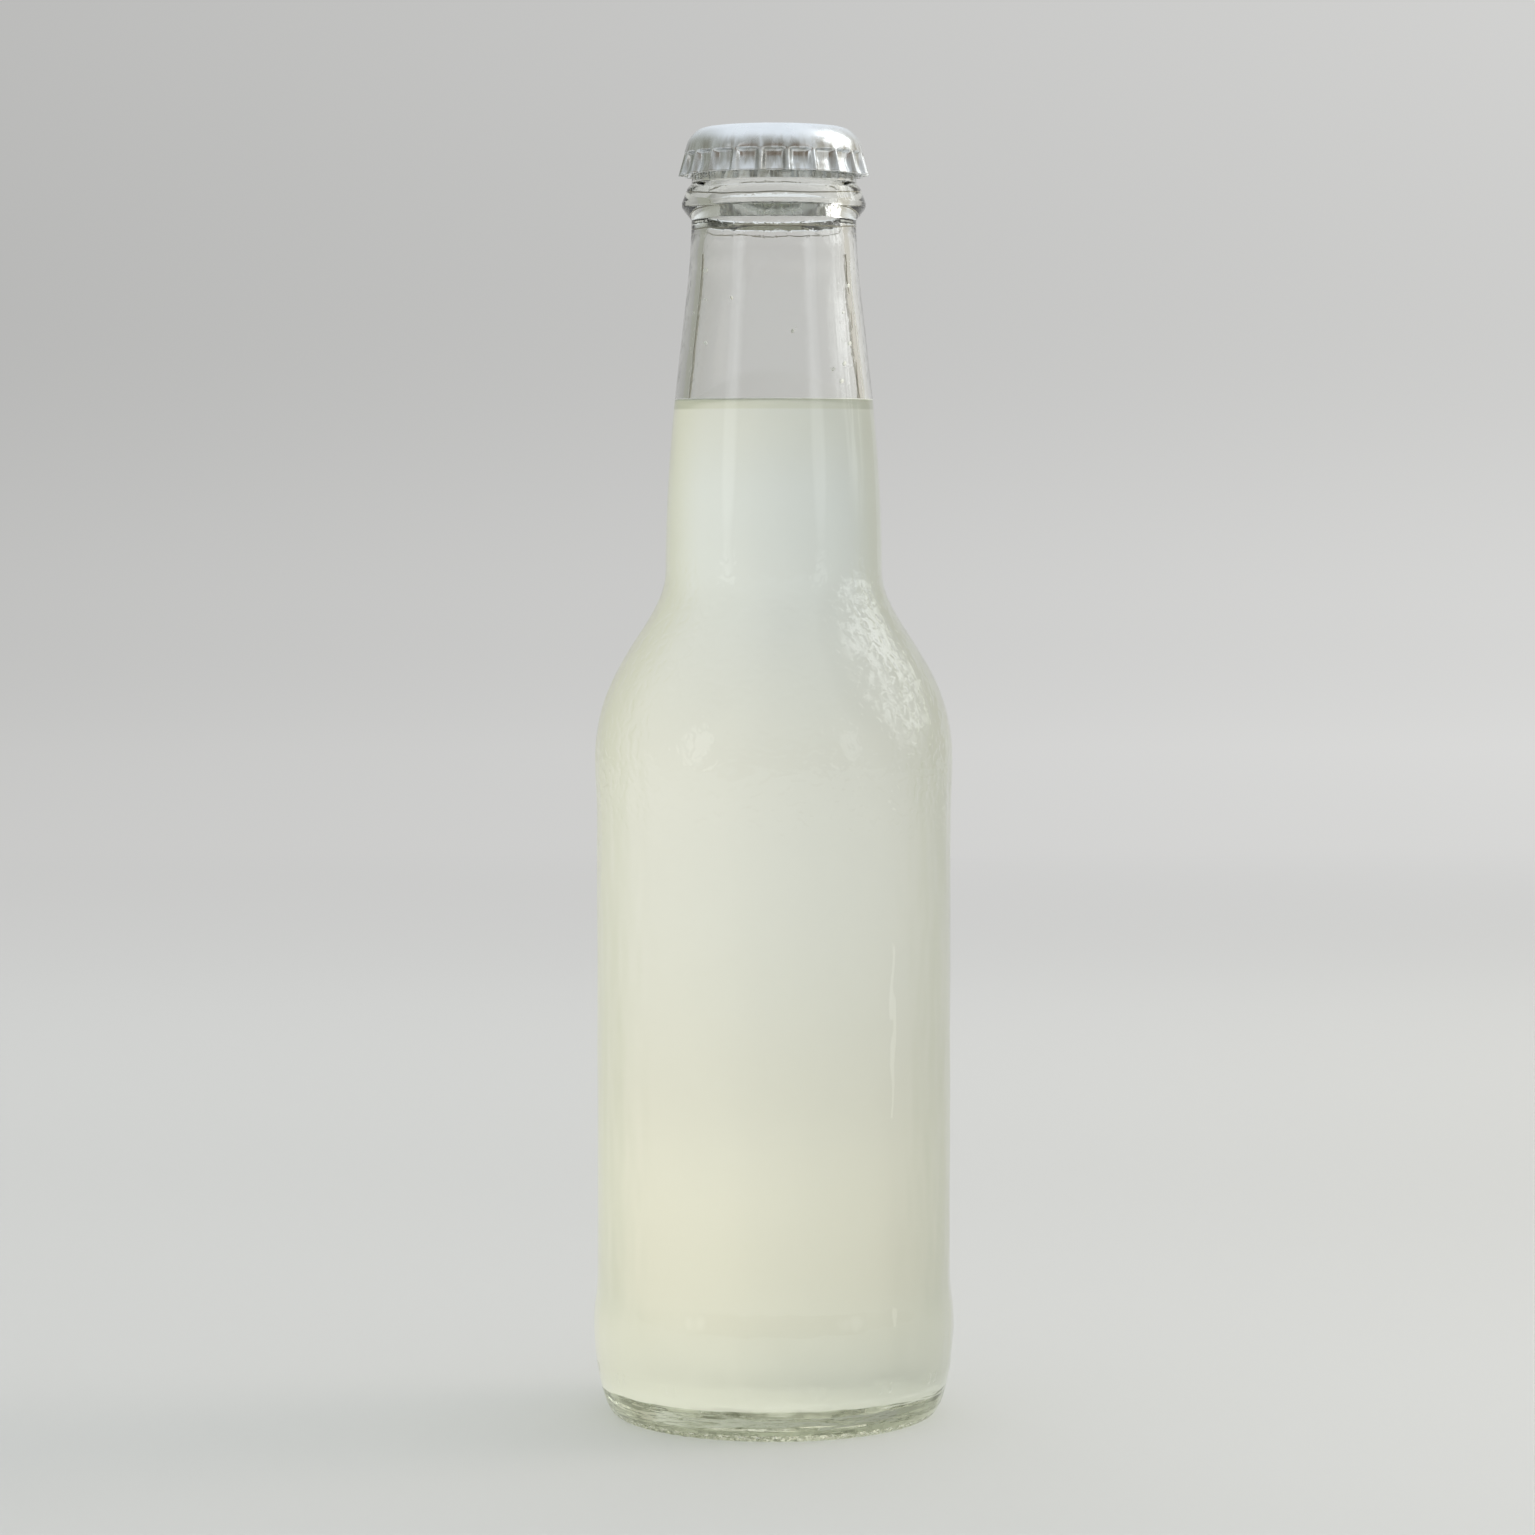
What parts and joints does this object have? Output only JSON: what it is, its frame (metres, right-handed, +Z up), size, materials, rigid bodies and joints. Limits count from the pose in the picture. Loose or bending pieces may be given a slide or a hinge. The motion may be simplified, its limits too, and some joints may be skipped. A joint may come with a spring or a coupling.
{
  "type": "soda bottle",
  "caption": "Clear glass long-neck drink bottle, closed by a fluted steel crown cap and filled to the neck with a pale cloudy drink.",
  "frame": {"origin": "centre of the ring that the bottle stands on", "axes": "+Z up along the bottle's axis, from the standing ring to the cap"},
  "size_m": [0.0562, 0.0562, 0.2002],
  "materials": {
    "glass": "clear flint glass with a faint green cast, smooth and glossy",
    "drink": "cloudy pale lemon drink, translucent",
    "cap_steel": "plain tinned steel, satin",
    "liner": "soft pale grey sealing compound"
  },
  "bodies": {
    "root": {"bottle": "glass", "drink": "drink", "cap": "cap_steel", "liner": "liner"}
  },
  "joints": []
}
